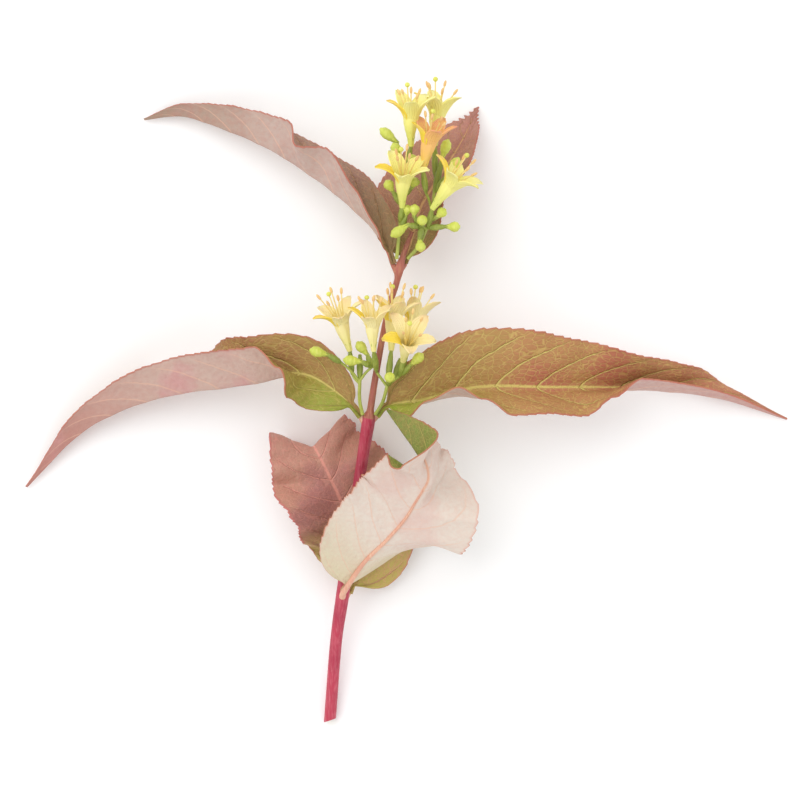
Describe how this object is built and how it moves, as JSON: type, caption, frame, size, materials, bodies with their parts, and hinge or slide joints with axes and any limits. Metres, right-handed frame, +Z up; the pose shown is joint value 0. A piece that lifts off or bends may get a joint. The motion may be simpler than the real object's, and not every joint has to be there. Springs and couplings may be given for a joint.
{
  "type": "cut flowering sprig of bush honeysuckle",
  "caption": "Cut flowering sprig of a shrub: a red stem lying down with three pairs of pointed leaves and clusters of yellow tubular flowers.",
  "frame": {"origin": "middle of the sprig's outline, on the surface that it lies on", "axes": "+X across the sprig from tip to tip of the middle leaves, +Y along the stem from its cut end to the top flowers, +Z up"},
  "size_m": [0.2311, 0.1926, 0.051],
  "materials": {
    "stem": "satin",
    "leaf_low_front": "matte",
    "leaf_low_back": "matte",
    "leaf_mid_left": "matte",
    "leaf_mid_right": "matte",
    "leaf_top_left": "matte",
    "leaf_top_right": "matte",
    "cyme": "matte",
    "petal": "matte"
  },
  "bodies": {
    "root": {"stem": "stem", "leaf_low_front": "leaf_low_front", "leaf_low_back": "leaf_low_back", "leaf_mid_left": "leaf_mid_left", "leaf_mid_right": "leaf_mid_right", "leaf_top_left": "leaf_top_left", "leaf_top_right": "leaf_top_right", "cyme_mid_left": "cyme", "cyme_mid_right": "cyme", "cyme_top_left": "cyme", "cyme_top_right": "cyme", "flower_mid_1": "petal", "flower_mid_2": "petal", "flower_mid_3": "petal", "flower_mid_4": "petal", "flower_mid_5": "petal", "flower_top_1": "petal", "flower_top_2": "petal", "flower_top_3": "petal", "flower_top_4": "petal", "flower_top_5": "petal"}
  },
  "joints": []
}
